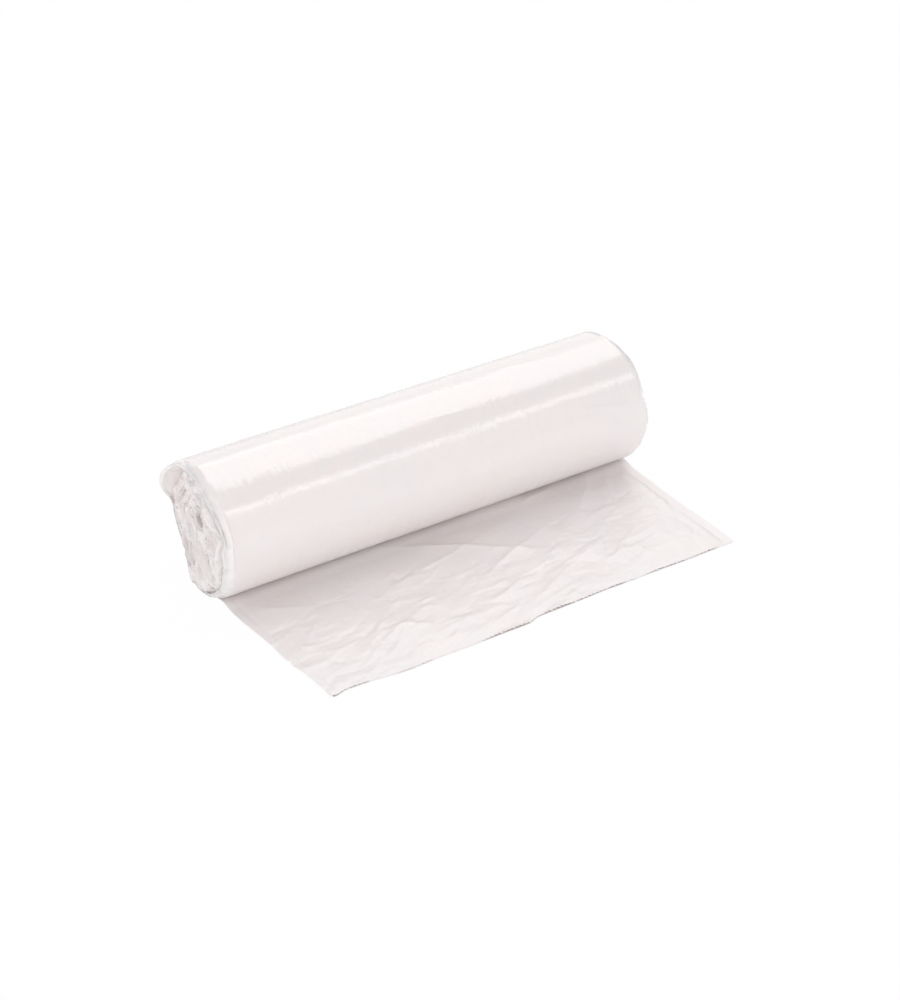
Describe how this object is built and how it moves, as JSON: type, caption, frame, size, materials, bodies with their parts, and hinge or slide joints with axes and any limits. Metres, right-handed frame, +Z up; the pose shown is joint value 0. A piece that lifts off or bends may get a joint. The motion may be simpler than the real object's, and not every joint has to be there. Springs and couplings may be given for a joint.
{
  "type": "bin bag roll",
  "caption": "Coreless roll of thin translucent white bin bags lying on its side, with the last bag's folded end pulled out flat in front and a torn perforated edge.",
  "frame": {"origin": "on the ground, at the middle of the footprint of roll and loose end", "axes": "+X along the roll, -Y the way the loose end reaches, +Z up"},
  "size_m": [0.21, 0.123, 0.0594],
  "materials": {
    "bag_film": "milky white translucent high-density film, softly glossy, finely crinkled"
  },
  "bodies": {
    "root": {"bin_bag_roll": "bag_film"}
  },
  "joints": []
}
